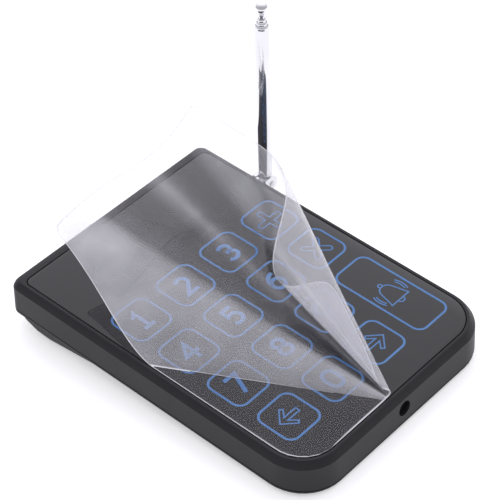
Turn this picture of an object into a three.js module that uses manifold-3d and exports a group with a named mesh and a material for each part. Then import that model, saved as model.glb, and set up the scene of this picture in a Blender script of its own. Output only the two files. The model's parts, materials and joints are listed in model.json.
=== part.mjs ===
// A touch keypad transmitter for calling guests: a tilted slab with a glossy key panel, a telescopic
// antenna on its right side and a clear film half peeled off the panel.
// Millimetres, +Z up. The part stands on z = 0. +X is the user's right and +Y the far end of the slab.
import * as THREE from "three";
import { ConvexGeometry } from "three/addons/geometries/ConvexGeometry.js";
import { mergeVertices } from "three/addons/utils/BufferGeometryUtils.js";
import Module from "manifold-3d";

const wasm = await Module();
wasm.setup();

// ---- driving dimensions ----
const GAP = 0.3; // between pieces that touch
const TILT = THREE.MathUtils.degToRad(2.7); // the hump under the far end raises it
const PANEL_HEIGHT = 19.8; // middle of the panel's top above the table

const PANEL_WIDTH = 104;
const PANEL_LENGTH = 142.6;
const PANEL_THICKNESS = 2;
const NEAR_RADIUS = 14.5; // panel corners at the user's end
const FAR_RADIUS = 2.8; // panel corners at the far end
const PANEL_SLOT = 0.35; // dark line round the panel

const WALL = 2.2;
const NEAR_WALL = 1.8; // thinner at the power inlet
const SPLIT_Z = -13.8; // where the upper and lower housings meet
const SPLIT_GAP = 0.4;
const BASE_Z = -15.5; // flat underside of the lower housing
const FLOOR = 1.6;
const LEDGE_TOP = -2.9;
const LEDGE_BOTTOM = -4.9;
const LEDGE_WIDTH = 3.6;

const HUMP_START_Y = 14;
const HUMP_LOW = [[57, -21.9], [64, -21.7], [70, -19.6]]; // y, z of its underside
const HUMP_END_Y = 74.6;
const HUMP_HALF_WIDTH = 54.6;

const BOARD_TOP = -11.8;
const BOARD_THICKNESS = 1.3;
const BOARD_HALF_WIDTH = 45;
const BOARD_Y = [-73, 64];
const SENSOR_BOARD_THICKNESS = 1.2;
const SENSOR_BOARD_HALF_WIDTH = 47.5;
const SENSOR_BOARD_Y = [-60.5, 66.5];

const JACK_BORE = 6.4;
const JACK_PIN = 2;
const JACK_Z = -7.3;
const JACK_FRONT_Y = -73.8;
const JACK_LENGTH = 11.5;
const JACK_WIDTH = 9;
const JACK_TOP = -3.1;

const BATTERY_LOW = [-35, 44, -17.4];
const BATTERY_HIGH = [35, 67, -13.9];

const CASE_SCREWS = [[-49.2, -50], [49.2, -50], [-49.2, 30], [49.2, 30]];
const CASE_BOSS_TOP = -12.2; // the lower housing's bosses meet the upper housing's posts here
const CASE_SCREW_SEAT = -13.6;
const BOARD_SCREWS = [[-42, -56], [42, -56], [-42, 60], [42, 60]];
const SOUND_SLOTS = [-6, -2, 2, 6]; // under the buzzer
const FEET = [[-42, -66], [42, -66], [-44, 60], [44, 60]];
const FOOT_DIAMETER = 9;
const FOOT_HEIGHT = 1.7;

const PIVOT = [63.3, 47.3, -9.3]; // elbow of the antenna, in the slab's frame
const MAST_LENGTH = 89.6; // elbow to tip with every section pushed in
const MAST_TUBES = [
  // radii outside, inside, of the flared foot and of the lip, and where the tube starts and ends
  { name: "antenna_tube_1", outer: 3, inner: 2.65, foot: 3, lip: 2.5, low: 5, top: 79.2 },
  { name: "antenna_tube_2", outer: 2.4, inner: 2.1, foot: 2.57, lip: 2, low: 8.5, top: 80.8 },
  { name: "antenna_tube_3", outer: 1.9, inner: 1.6, foot: 2.02, lip: 1.4, low: 10.5, top: 82.4 },
];
const ROD_RADIUS = 1.3;
const ROD_LOW = 12.5;
const ROD_TOP = 83.8;
const TIP_RADIUS = 2.7;
const FORK_RADIUS = 3.4;
const FORK_INNER = 1.75; // half the gap between the fork's ears
const FORK_OUTER = 3.6;
const TONGUE_HALF = 1.5;
const ELBOW_PIN_RADIUS = 1;
const COLLAR_LOW = 3.9;
const SOCKET_BORE_RADIUS = 1.7;
const SOCKET_NECK_RADIUS = 2.6;
const STEM_RADIUS = 1.4;

const FILM_THICKNESS = 0.3;
const PEEL_NEAR = new THREE.Vector2(-7.6, -71.3); // where the peel line meets the near edge
const PEEL_LEFT = new THREE.Vector2(-52, 4.6); // where it meets the left edge
const ROLL_TIP = 4.2; // how far outside the near edge the film's cone has its tip
const PEEL_CREASE = THREE.MathUtils.degToRad(47.3); // how steeply the film leaves the panel
// how strongly the film bends, in radians per radian about the cone's tip, at angles from the peel line
const FILM_BEND = [[0, -2.8], [25, -0.95], [45, 3], [60, 6.1], [72, 6.5], [84, 6.4], [96, 7.2], [115, 7.6]];
const CORNER_LIFT = new THREE.Vector3(15.5, -5, 9); // the far left corner is drawn in and up
const CORNER_REACH = 157; // from the cone's tip to that corner
const CORNER_SPREAD = [0, 14, 18, 52]; // the lift grows and fades between these angles
const FILM_STEPS = [60, 5]; // across the cone's lines and along them
const ROLL_STEP = 0.004; // radians
const ROLL_END = 2.1;

const SMOOTH = 24; // sides on visible round pieces
const PLAIN = 12; // sides on small and hidden round pieces

// ---- materials ----
const plastic = (color, roughness) => new THREE.MeshStandardMaterial({ color, roughness, metalness: 0 });
const metal = (color, roughness) => new THREE.MeshStandardMaterial({ color, roughness, metalness: 1 });
const HOUSING = plastic(0x3c3c40, 0.55);
const GLASS = plastic(0x1c1c1f, 0.08);
const CLEAR = new THREE.MeshStandardMaterial({
  color: 0xe8e8ee,
  roughness: 0.15,
  metalness: 0,
  transparent: true,
  opacity: 0.35,
});
const BOARD = plastic(0x1f5a36, 0.5);
const CHIP = plastic(0x202020, 0.5);
const RUBBER = plastic(0x181818, 0.9);
const FOIL = plastic(0xb9bcc2, 0.4);
const TAPE = plastic(0xd8d4c4, 0.7);
const STEEL = metal(0xb8b8bc, 0.3);
const CHROME = metal(0xe4e4e8, 0.08);
const BRASS = metal(0xc9a24a, 0.3);

// ---- solids ----
function toSolid(geometry) {
  const bare = new THREE.BufferGeometry();
  bare.setAttribute("position", geometry.getAttribute("position").clone());
  if (geometry.index) bare.setIndex(geometry.index.clone());
  const merged = mergeVertices(bare, 1e-4);
  return new wasm.Manifold(
    new wasm.Mesh({
      numProp: 3,
      vertProperties: new Float32Array(merged.attributes.position.array),
      triVerts: new Uint32Array(merged.index.array),
    }),
  );
}

function toGeometry(solid) {
  const made = solid.getMesh();
  const geometry = new THREE.BufferGeometry();
  geometry.setAttribute("position", new THREE.BufferAttribute(made.vertProperties, 3));
  geometry.setIndex(new THREE.BufferAttribute(made.triVerts, 1));
  const flat = geometry.toNonIndexed();
  flat.computeVertexNormals();
  return flat;
}

function join(first, ...others) {
  return toGeometry(others.reduce((sum, next) => sum.add(toSolid(next)), toSolid(first)));
}

function cut(first, ...tools) {
  return toGeometry(tools.reduce((rest, tool) => rest.subtract(toSolid(tool)), toSolid(first)));
}

// A box between two corners.
function block(low, high) {
  const size = high.map((value, axis) => value - low[axis]);
  const middle = high.map((value, axis) => (value + low[axis]) / 2);
  return new THREE.BoxGeometry(...size).translate(...middle);
}

// An upright cylinder at x, y between two heights.
function post(x, y, low, high, diameter, sides = PLAIN) {
  const cylinder = new THREE.CylinderGeometry(diameter / 2, diameter / 2, high - low, sides);
  return cylinder.rotateX(Math.PI / 2).translate(x, y, (low + high) / 2);
}

// A cylinder along X (axis 0) or Y (axis 1), centred on a point.
function lyingRod(axis, centre, length, diameter, sides = PLAIN) {
  const cylinder = new THREE.CylinderGeometry(diameter / 2, diameter / 2, length, sides);
  if (axis === 0) cylinder.rotateZ(Math.PI / 2);
  return cylinder.translate(...centre);
}

// The panel's outline grown by a margin on its long sides, near end and far end.
function outline(side, near, far, nearRadius, farRadius) {
  const right = PANEL_WIDTH / 2 + side;
  const top = PANEL_LENGTH / 2 + far;
  const bottom = -PANEL_LENGTH / 2 - near;
  const shape = new THREE.Shape();
  shape.absarc(right - nearRadius, bottom + nearRadius, nearRadius, -Math.PI / 2, 0, false);
  shape.absarc(right - farRadius, top - farRadius, farRadius, 0, Math.PI / 2, false);
  shape.absarc(-right + farRadius, top - farRadius, farRadius, Math.PI / 2, Math.PI, false);
  shape.absarc(-right + nearRadius, bottom + nearRadius, nearRadius, Math.PI, Math.PI * 1.5, false);
  shape.closePath();
  return shape;
}

// The panel's outline grown or shrunk by the same margin all round.
function evenOutline(margin, farRadius) {
  return outline(margin, margin, margin, NEAR_RADIUS + margin, farRadius);
}

function slabOf(shape, low, high, curveSegments = 5) {
  const settings = { depth: high - low, bevelEnabled: false, curveSegments };
  return new THREE.ExtrudeGeometry(shape, settings).translate(0, 0, low);
}

// The convex solid through outlines at several heights.
function loft(levels) {
  const points = [];
  for (const { z, side, near, far, nearRadius, farRadius } of levels) {
    for (const point of outline(side, near, far, nearRadius, farRadius).getPoints(5)) {
      points.push(new THREE.Vector3(point.x, point.y, z));
    }
  }
  return new ConvexGeometry(points);
}

// ---- the slab's group, tilted by the hump ----
const part = new THREE.Group();
const slab = new THREE.Group();
slab.rotation.x = TILT;
slab.position.z = PANEL_HEIGHT;
part.add(slab);
slab.updateMatrixWorld(true);

function add(group, name, geometry, material) {
  const mesh = new THREE.Mesh(geometry, material);
  mesh.name = name;
  group.add(mesh);
  return mesh;
}

// A solid that stands upright on the table, turned into the slab's frame.
function uprightInSlab(geometry) {
  return geometry.applyMatrix4(slab.matrixWorld.clone().invert());
}

// The world height of a slab point.
function tableHeight(y, z) {
  return PANEL_HEIGHT + y * Math.sin(TILT) + z * Math.cos(TILT);
}

function worldY(y, z) {
  return y * Math.cos(TILT) - z * Math.sin(TILT);
}

// ---- housings ----
function upperHousing() {
  const shell = loft([
    { z: 0, side: 1.6, near: 1.4, far: 2.8, nearRadius: 15.9, farRadius: 3.2 },
    { z: -0.5, side: 2.05, near: 1.85, far: 4.0, nearRadius: 16.3, farRadius: 3.4 },
    { z: -1.5, side: 2.9, near: 2.75, far: 4.7, nearRadius: 17.1, farRadius: 3.6 },
    { z: -2.8, side: 3.7, near: 3.7, far: 5.0, nearRadius: 17.8, farRadius: 3.8 },
    { z: SPLIT_Z + SPLIT_GAP / 2, side: 3.9, near: 4.8, far: 5.2, nearRadius: 18.5, farRadius: 4.4 },
  ]);
  const recess = evenOutline(PANEL_SLOT, FAR_RADIUS + PANEL_SLOT);
  const window = evenOutline(-LEDGE_WIDTH, 1.5);
  const inside = outline(3.7 - WALL, 4.6 - NEAR_WALL, 5 - WALL, 17.8 - WALL, 2);
  const jackNotch = block([-6, -PANEL_LENGTH / 2 - 4.6 + NEAR_WALL, -8], [6, -60, LEDGE_TOP + 0.01]);
  const hollow = cut(
    shell,
    slabOf(recess, LEDGE_TOP, 1),
    slabOf(window, -8, 1),
    slabOf(inside, -20, LEDGE_BOTTOM),
    jackNotch,
    lyingRod(1, [0, JACK_FRONT_Y, JACK_Z], 14, JACK_BORE, SMOOTH),
    lyingRod(0, [PANEL_WIDTH / 2, PIVOT[1], PIVOT[2]], 14, 2 * (SOCKET_NECK_RADIUS + GAP), SMOOTH),
  );
  const posts = CASE_SCREWS.map(([x, y]) => post(x, y, CASE_BOSS_TOP + GAP, LEDGE_BOTTOM + 0.2, 6.4));
  const pilots = CASE_SCREWS.map(([x, y]) => post(x, y, CASE_BOSS_TOP, LEDGE_BOTTOM - 1.6, 2.9, 12));
  return cut(join(hollow, ...posts), ...pilots);
}

// The hump under the far end, rounded along its long edges by three rings of its profile.
function humpSolid(top) {
  const profile = [[HUMP_START_Y, BASE_Z + 0.3], ...HUMP_LOW, [HUMP_END_Y, BASE_Z + 0.3]];
  const rings = [
    { inset: 2.4, rise: 0, farthest: HUMP_END_Y },
    { inset: 0.7, rise: 0.8, farthest: HUMP_END_Y - 3.1 },
    { inset: 0, rise: 2.4, farthest: HUMP_END_Y - 4.1 },
  ];
  const points = [];
  for (const sign of [-1, 1]) {
    for (const { inset, rise, farthest } of rings) {
      for (const [y, z] of profile) {
        const x = sign * (HUMP_HALF_WIDTH - inset);
        points.push(new THREE.Vector3(x, Math.min(y, farthest), Math.min(z + rise, top)));
      }
    }
  }
  return new ConvexGeometry(points);
}

function lowerHousing() {
  const top = SPLIT_Z - SPLIT_GAP / 2;
  const tray = loft([
    { z: top, side: 3.9, near: 4.8, far: 5.2, nearRadius: 18.5, farRadius: 4.4 },
    { z: BASE_Z + 0.5, side: 3.8, near: 4.6, far: 5.0, nearRadius: 18.3, farRadius: 4.2 },
    { z: BASE_Z, side: 2.9, near: 3.6, far: 4.2, nearRadius: 17.4, farRadius: 3.4 },
  ]);
  const hump = humpSolid(top - 0.3);
  const boardSeat = BOARD_TOP - BOARD_THICKNESS - GAP;
  const boardBosses = BOARD_SCREWS.map(([x, y]) => post(x, y, top - 0.5, boardSeat, 5));
  const caseBosses = CASE_SCREWS.map(([x, y]) => post(x, y, top - 0.5, CASE_BOSS_TOP, 7.6));
  const body = join(tray, hump, ...boardBosses, ...caseBosses);
  const screwWays = CASE_SCREWS.flatMap(([x, y]) => [
    post(x, y, CASE_SCREW_SEAT - 1, CASE_BOSS_TOP + 1, 3, 12),
    post(x, y, -30, CASE_SCREW_SEAT, 6.2),
  ]);
  const pilots = BOARD_SCREWS.map(([x, y]) => post(x, y, top - 1, top + 2, 2.3, 12));
  const pockets = FEET.map(([x, y]) => {
    const pocket = post(x, worldY(y, BASE_Z), -1, FOOT_HEIGHT + GAP, FOOT_DIAMETER + 0.7);
    return uprightInSlab(pocket);
  });
  const soundSlots = SOUND_SLOTS.map((x) => block([x - 0.7, -39, BASE_Z - 1], [x + 0.7, -27, top + 1]));
  return cut(body, batterySpace(), ...screwWays, ...pilots, ...pockets, ...soundSlots);
}

function batterySpace() {
  const [x0, y0, z0] = BATTERY_LOW;
  const [x1, y1, z1] = BATTERY_HIGH;
  return block([x0 - 1, y0 - 1, z0 - 1.1], [x1 + 3, y1 + 0.6, z1 + 3]);
}

add(slab, "upper_housing", upperHousing(), HOUSING);
add(slab, "lower_housing", lowerHousing(), HOUSING);

// ---- key panel ----
add(slab, "touch_panel", slabOf(evenOutline(0, FAR_RADIUS), -PANEL_THICKNESS, 0), GLASS);
const ADHESIVE_TOP = -PANEL_THICKNESS - GAP;
add(slab, "panel_adhesive", slabOf(evenOutline(-1.2, 1.6), ADHESIVE_TOP - GAP, ADHESIVE_TOP, 4), TAPE);
const SENSOR_TOP = -PANEL_THICKNESS - 3 * GAP;
const SENSOR_BOTTOM = SENSOR_TOP - SENSOR_BOARD_THICKNESS;
add(
  slab,
  "touch_sensor_board",
  block(
    [-SENSOR_BOARD_HALF_WIDTH, SENSOR_BOARD_Y[0], SENSOR_BOTTOM],
    [SENSOR_BOARD_HALF_WIDTH, SENSOR_BOARD_Y[1], SENSOR_TOP],
  ),
  BOARD,
);

// ---- main board and what is on it ----
function mainBoard() {
  const low = BOARD_TOP - BOARD_THICKNESS;
  const near = BOARD_Y[0] + 14;
  const plate = block([-BOARD_HALF_WIDTH, near, low], [BOARD_HALF_WIDTH, BOARD_Y[1], BOARD_TOP]);
  const jackTongue = block([-30, BOARD_Y[0], low], [30, BOARD_Y[0] + 15, BOARD_TOP]);
  const holes = BOARD_SCREWS.map(([x, y]) => post(x, y, low - 1, BOARD_TOP + 1, 2.8, 12));
  const leadHole = block([35.8, 46, low - 1], [42, 54, BOARD_TOP + 1]);
  return cut(join(plate, jackTongue), ...holes, leadHole);
}

// A part standing on the board, given by its middle and size.
function onBoard(x, y, width, length, height) {
  const low = BOARD_TOP + GAP;
  return block([x - width / 2, y - length / 2, low], [x + width / 2, y + length / 2, low + height]);
}

add(slab, "main_board", mainBoard(), BOARD);
add(slab, "microcontroller_chip", onBoard(-4, -8, 10, 10, 1.4), CHIP);
add(slab, "crystal_can", onBoard(9, -8, 4.6, 11, 3.2), STEEL);
add(slab, "voltage_regulator", onBoard(-16, -62, 6.5, 6.7, 1.8), CHIP);
add(slab, "smoothing_capacitor", post(16, -62, BOARD_TOP + GAP, BOARD_TOP + GAP + 5.6, 6.3), STEEL);
add(slab, "buzzer", post(0, -33, BOARD_TOP + GAP, BOARD_TOP + GAP + 4.6, 12, 24), CHIP);
add(slab, "radio_module_board", onBoard(26, 34, 16, 22, 0.8), BOARD);
const MODULE_TOP = BOARD_TOP + GAP + 0.8;
const shieldCan = block([19.5, 25, MODULE_TOP + GAP], [32.5, 39, MODULE_TOP + GAP + 2.4]);
add(slab, "radio_shield_can", shieldCan, STEEL);
add(slab, "battery_socket", onBoard(38, 34, 5, 7.5, 4), TAPE);
const CONTROLLER_TOP = SENSOR_BOTTOM - GAP;
add(slab, "board_link_connector", block([-32, -20, BOARD_TOP + GAP], [-29.4, 6, CONTROLLER_TOP]), CHIP);
add(slab, "touch_controller_chip", block([6, 10, CONTROLLER_TOP - 1.2], [14, 18, CONTROLLER_TOP]), CHIP);

// ---- power inlet ----
function jackBody() {
  const back = JACK_FRONT_Y + JACK_LENGTH;
  const body = block([-JACK_WIDTH / 2, JACK_FRONT_Y, BOARD_TOP + GAP], [JACK_WIDTH / 2, back, JACK_TOP]);
  const bore = lyingRod(1, [0, JACK_FRONT_Y + 4, JACK_Z], 12, JACK_BORE, SMOOTH);
  const pinHole = lyingRod(1, [0, back, JACK_Z], 8, JACK_PIN + 2 * GAP);
  return cut(body, bore, pinHole);
}

add(slab, "dc_jack_body", jackBody(), CHIP);
const JACK_PIN_START = JACK_FRONT_Y + 2.3;
const JACK_PIN_END = JACK_FRONT_Y + JACK_LENGTH + 1;
const pinMiddle = [0, (JACK_PIN_START + JACK_PIN_END) / 2, JACK_Z];
add(slab, "dc_jack_centre_pin", lyingRod(1, pinMiddle, JACK_PIN_END - JACK_PIN_START, JACK_PIN), BRASS);

// ---- battery in the hump ----
add(slab, "battery_pack", block(BATTERY_LOW, BATTERY_HIGH), FOIL);
const PAD_TOP = BATTERY_LOW[2] - GAP;
const batteryPad = block([-26, BATTERY_LOW[1] + 4, PAD_TOP - 0.5], [26, BATTERY_HIGH[1] - 4, PAD_TOP]);
add(slab, "battery_pad", batteryPad, RUBBER);

function wire(points, diameter) {
  const path = new THREE.CatmullRomCurve3(points.map((point) => new THREE.Vector3(...point)));
  const section = new THREE.Shape().absarc(0, 0, diameter / 2, 0, Math.PI * 2, false);
  const settings = { steps: 16, bevelEnabled: false, extrudePath: path, curveSegments: 4 };
  return new THREE.ExtrudeGeometry(section, settings);
}

const batteryLead = [
  [35.4, 50, -15.6],
  [36.6, 50, -15],
  [37.5, 50, -12.4],
  [38.2, 48.5, -9.8],
  [38.4, 43, -9.2],
  [38, 38.2, -9.3],
];
add(slab, "battery_lead", wire(batteryLead, 1.6), RUBBER);

// ---- screws and feet ----
function screw(x, y, headLow, headHigh, headDiameter, tip, shankDiameter) {
  const start = tip > headHigh ? headHigh - 0.1 : headLow + 0.1;
  const shank = post(x, y, Math.min(start, tip), Math.max(start, tip), shankDiameter, 12);
  const driveLow = tip > headHigh ? headLow - 1 : headHigh - 0.7;
  const cross = [
    block([x - 1.2, y - 0.3, driveLow], [x + 1.2, y + 0.3, driveLow + 1.7]),
    block([x - 0.3, y - 1.2, driveLow], [x + 0.3, y + 1.2, driveLow + 1.7]),
  ];
  return cut(join(post(x, y, headLow, headHigh, headDiameter), shank), ...cross);
}

CASE_SCREWS.forEach(([x, y], index) => {
  const seat = CASE_SCREW_SEAT - GAP;
  add(slab, `case_screw_${index + 1}`, screw(x, y, seat - 1.4, seat, 5.2, LEDGE_BOTTOM - 2.4, 2.3), STEEL);
});
BOARD_SCREWS.forEach(([x, y], index) => {
  const seat = BOARD_TOP + GAP;
  add(slab, `board_screw_${index + 1}`, screw(x, y, seat, seat + 1.4, 4.4, SPLIT_Z - 0.8, 1.7), STEEL);
});
FEET.forEach(([x, y], index) => {
  add(part, `foot_${index + 1}`, post(x, worldY(y, BASE_Z), 0, FOOT_HEIGHT, FOOT_DIAMETER, 20), RUBBER);
});

// ---- protective film ----
// The film is the panel's outline, cut flat. It still sticks to the near left corner. Beyond the peel
// line it rolls up into a cone whose tip lies just outside the near edge, so each straight line
// through the tip stays straight. The bend along the way round the tip is FILM_BEND.
const peelWay = PEEL_LEFT.clone().sub(PEEL_NEAR).normalize();
const freeWay = new THREE.Vector2(peelWay.y, -peelWay.x);
const rollTip = PEEL_NEAR.clone().addScaledVector(peelWay, -ROLL_TIP);

function bendAt(angle) {
  const degrees = THREE.MathUtils.radToDeg(angle);
  const next = FILM_BEND.findIndex(([knot]) => knot > degrees);
  if (next < 0) return FILM_BEND[FILM_BEND.length - 1][1];
  const [fromAngle, fromBend] = FILM_BEND[next - 1];
  const [toAngle, toBend] = FILM_BEND[next];
  return THREE.MathUtils.mapLinear(degrees, fromAngle, toAngle, fromBend, toBend);
}

// Directions of the cone's lines and the film's normals at equal steps of angle.
const rollLines = [];
{
  const line = new THREE.Vector3(peelWay.x, peelWay.y, 0);
  const along = new THREE.Vector3(freeWay.x, freeWay.y, 0);
  const normal = new THREE.Vector3(0, 0, 1);
  for (const vector of [along, normal]) vector.applyAxisAngle(line, -PEEL_CREASE);
  for (let angle = 0; angle < ROLL_END; angle += ROLL_STEP) {
    rollLines.push({ line: line.clone(), normal: normal.clone() });
    const turn = normal.clone().addScaledVector(line, bendAt(angle + ROLL_STEP / 2)).negate();
    const amount = turn.length() * ROLL_STEP;
    turn.normalize();
    for (const vector of [line, along, normal]) vector.applyAxisAngle(turn, amount);
  }
}

// Where a point of the flat film goes, lifted along the film's normal.
function filmPoint(x, y, lift) {
  const reach = new THREE.Vector2(x, y).sub(rollTip);
  const along = reach.dot(peelWay);
  const away = reach.dot(freeWay);
  const base = GAP + FILM_THICKNESS / 2;
  if (away <= 0) return new THREE.Vector3(x, y, base + lift);
  const angle = Math.atan2(away, along);
  const { line, normal } = rollLines[Math.min(Math.round(angle / ROLL_STEP), rollLines.length - 1)];
  const point = new THREE.Vector3(rollTip.x, rollTip.y, base).addScaledVector(line, reach.length());
  const degrees = THREE.MathUtils.radToDeg(angle);
  const [begin, full, hold, end] = CORNER_SPREAD;
  const rise = THREE.MathUtils.smoothstep(degrees, begin, full);
  const fall = THREE.MathUtils.smoothstep(degrees, hold, end);
  const drawn = (rise * (1 - fall) * reach.length()) / CORNER_REACH;
  return point.addScaledVector(normal, lift).addScaledVector(CORNER_LIFT, drawn);
}

// The film's rim in equal steps of length and bend, from the near right corner round the far end.
function filmRim(count) {
  const path = outline(0, 0, 0, NEAR_RADIUS, FAR_RADIUS);
  path.curves = path.curves.slice(0, -1);
  const fine = 600;
  const points = [];
  for (let index = 0; index <= fine; index += 1) {
    points.push(path.getPointAt(0.006 + (0.988 * index) / fine));
  }
  const ways = [0];
  for (let index = 1; index <= fine; index += 1) {
    const before = angleOf(points[index - 1]);
    const now = angleOf(points[index]);
    const bend = now > 0 ? Math.abs(bendAt(now)) : 0;
    const length = points[index].distanceTo(points[index - 1]);
    ways.push(ways[index - 1] + Math.abs(now - before) * (bend + 0.5) + length * 0.006);
  }
  const rim = [];
  for (let index = 0; index <= count; index += 1) {
    const wanted = (ways[fine] * index) / count;
    rim.push(points[ways.findIndex((way) => way >= wanted - 1e-9)]);
  }
  return rim;
}

function angleOf(point) {
  const reach = point.clone().sub(rollTip);
  return Math.atan2(reach.dot(freeWay), reach.dot(peelWay));
}

function protectiveFilm() {
  const rim = filmRim(FILM_STEPS[0]);
  const film = new THREE.BoxGeometry(1, 1, 1, ...FILM_STEPS, 1);
  const position = film.getAttribute("position");
  const nearEdge = -PANEL_LENGTH / 2;
  for (let index = 0; index < position.count; index += 1) {
    const end = rim[Math.round((0.5 - position.getX(index)) * FILM_STEPS[0])];
    const share = (nearEdge - rollTip.y) / (end.y - rollTip.y);
    const start = rollTip.clone().lerp(end, share);
    const flat = start.lerp(end, position.getY(index) + 0.5);
    const { x, y, z } = filmPoint(flat.x, flat.y, position.getZ(index) * FILM_THICKNESS);
    position.setXYZ(index, x, y, z);
  }
  return film;
}

add(slab, "protective_film", protectiveFilm(), CLEAR);

// ---- antenna ----
// A turned piece about +Z. The profile holds radius, height pairs.
function turned(profile, sides = 20) {
  const points = profile.map(([radius, height]) => new THREE.Vector2(radius, height));
  return new THREE.LatheGeometry(points, sides).rotateX(Math.PI / 2);
}

// The same piece laid along +X, with its heights counted from x = 0.
function turnedAlongX(profile, sides = 20) {
  return turned(profile, sides).rotateY(Math.PI / 2);
}

const SIDE_FACE = PANEL_WIDTH / 2 + 3.82; // the right wall at the antenna's height
const INNER_FACE = PANEL_WIDTH / 2 + 3.7 - WALL;
const FLANGE_START = SIDE_FACE + GAP;
const FLANGE_END = FLANGE_START + 1.6;
const NUT_END = INNER_FACE - GAP;
const NUT_START = NUT_END - 2;
const NECK_START = NUT_START - 0.2;
const WASHER_END = NECK_START - 0.2;
const CLIP_END = WASHER_END - 0.6;

const sideMount = new THREE.Group();
sideMount.position.set(0, PIVOT[1], PIVOT[2]);
slab.add(sideMount);

const socket = turnedAlongX([
  [SOCKET_BORE_RADIUS, NECK_START],
  [SOCKET_NECK_RADIUS, NECK_START],
  [SOCKET_NECK_RADIUS, FLANGE_START],
  [4.2, FLANGE_START],
  [4.2, FLANGE_END - 0.5],
  [3.7, FLANGE_END],
  [SOCKET_BORE_RADIUS, FLANGE_END],
  [SOCKET_BORE_RADIUS, NECK_START],
]);
add(sideMount, "antenna_socket", socket, CHROME);

const nutBlank = new THREE.CylinderGeometry(4.2, 4.2, NUT_END - NUT_START, 6)
  .rotateZ(Math.PI / 2)
  .translate((NUT_START + NUT_END) / 2, 0, 0);
const nutBore = lyingRod(0, [(NUT_START + NUT_END) / 2, 0, 0], 6, 2 * (SOCKET_NECK_RADIUS + 0.2), 24);
add(sideMount, "antenna_nut", cut(nutBlank, nutBore), BRASS);

// The mast stands upright on the table, whatever the slab's tilt.
const mast = new THREE.Group();
mast.position.set(PIVOT[0], worldY(PIVOT[1], PIVOT[2]), tableHeight(PIVOT[1], PIVOT[2]));
part.add(mast);

function ring(inner, outer, start, end) {
  return turnedAlongX([[inner, start], [outer, start], [outer, end], [inner, end], [inner, start]]);
}

const washer = ring(STEM_RADIUS + 0.2, 2.6, WASHER_END - 0.3, WASHER_END).translate(-PIVOT[0], 0, 0);
add(mast, "antenna_spring_washer", washer, STEEL);
const clip = ring(1.15, 2.5, CLIP_END - 0.6, CLIP_END).translate(-PIVOT[0], 0, 0);
add(mast, "antenna_retaining_clip", clip, STEEL);

function swivel() {
  const web = FLANGE_END + 1.9;
  const stem = turnedAlongX([
    [0, CLIP_END - 1.3],
    [STEM_RADIUS, CLIP_END - 1.3],
    [STEM_RADIUS, CLIP_END - 0.7],
    [0.95, CLIP_END - 0.7],
    [0.95, CLIP_END + 0.1],
    [STEM_RADIUS, CLIP_END + 0.1],
    [STEM_RADIUS, FLANGE_END + GAP],
    [3.3, FLANGE_END + GAP],
    [FORK_OUTER, FLANGE_END + 0.7],
    [FORK_OUTER, web],
    [0, web],
  ]).translate(-PIVOT[0], 0, 0);
  const ears = [-1, 1].flatMap((side) => {
    const low = side < 0 ? -FORK_OUTER : FORK_INNER;
    const high = side < 0 ? -FORK_INNER : FORK_OUTER;
    return [
      block([web - PIVOT[0] - 0.2, low, -FORK_RADIUS], [0, high, FORK_RADIUS]),
      lyingRod(1, [0, (low + high) / 2, 0], high - low, 2 * FORK_RADIUS, SMOOTH),
    ];
  });
  const pinHole = lyingRod(1, [0, 0, 0], 10, 2 * (ELBOW_PIN_RADIUS + 0.15), 24);
  return cut(join(stem, ...ears), pinHole);
}

add(mast, "antenna_swivel", swivel(), CHROME);
const elbowPin = lyingRod(1, [0, 0, 0], 2 * FORK_OUTER + 0.6, 2 * ELBOW_PIN_RADIUS, 24);
add(mast, "antenna_elbow_pin", elbowPin, STEEL);

function knuckle() {
  const tongue = join(
    lyingRod(1, [0, 0, 0], 2 * TONGUE_HALF, 6.4, SMOOTH),
    block([-2.2, -TONGUE_HALF, 0], [2.2, TONGUE_HALF, COLLAR_LOW + 0.2]),
    post(0, 0, COLLAR_LOW, MAST_TUBES[0].low - 0.2, 2 * MAST_TUBES[0].outer, 24),
    post(0, 0, MAST_TUBES[0].low - 0.5, MAST_TUBES[0].low + 2.6, 4.7, 24),
  );
  return cut(tongue, lyingRod(1, [0, 0, 0], 10, 2 * (ELBOW_PIN_RADIUS + 0.15), 24));
}

add(mast, "antenna_knuckle", knuckle(), CHROME);

for (const { name, outer, inner, foot, lip, low, top } of MAST_TUBES) {
  const tube = turned([
    [inner, low],
    [foot, low],
    [foot, low + 1.2],
    [outer, low + 1.7],
    [outer, top - 0.6],
    [outer - 0.12, top - 0.2],
    [outer - 0.35, top],
    [lip, top],
    [lip, top - 1],
    [inner, top - 1.3],
    [inner, low],
  ]);
  add(mast, name, tube, CHROME);
}

const rod = turned([
  [0, ROD_LOW],
  [1.52, ROD_LOW],
  [1.52, ROD_LOW + 1.2],
  [ROD_RADIUS, ROD_LOW + 1.6],
  [ROD_RADIUS, ROD_TOP],
  [0.8, ROD_TOP],
  [0.8, ROD_TOP + 2.4],
  [0, ROD_TOP + 2.4],
]);
add(mast, "antenna_rod", rod, CHROME);

function tip() {
  const profile = [[0, ROD_TOP + 2.7], [1.1, ROD_TOP + 2.7], [1.1, ROD_TOP + GAP], [1.55, ROD_TOP + GAP]];
  const middle = MAST_LENGTH - 2.6;
  for (let angle = -50; angle < 90; angle += 20) {
    const turn = THREE.MathUtils.degToRad(angle);
    profile.push([TIP_RADIUS * Math.cos(turn), middle + 2.6 * Math.sin(turn)]);
  }
  return turned([...profile, [0, MAST_LENGTH]]);
}

add(mast, "antenna_tip", tip(), CHROME);

const antennaLead = [
  [34.5, 41.6, -10.2],
  [36, 42.2, -8.2],
  [39.5, 43, -6.6],
  [44, 43.4, -6.6],
  [48, 43, -7.8],
  [49.2, 42.7, -9],
];
add(slab, "antenna_lead", wire(antennaLead, 1.6), RUBBER);

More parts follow.
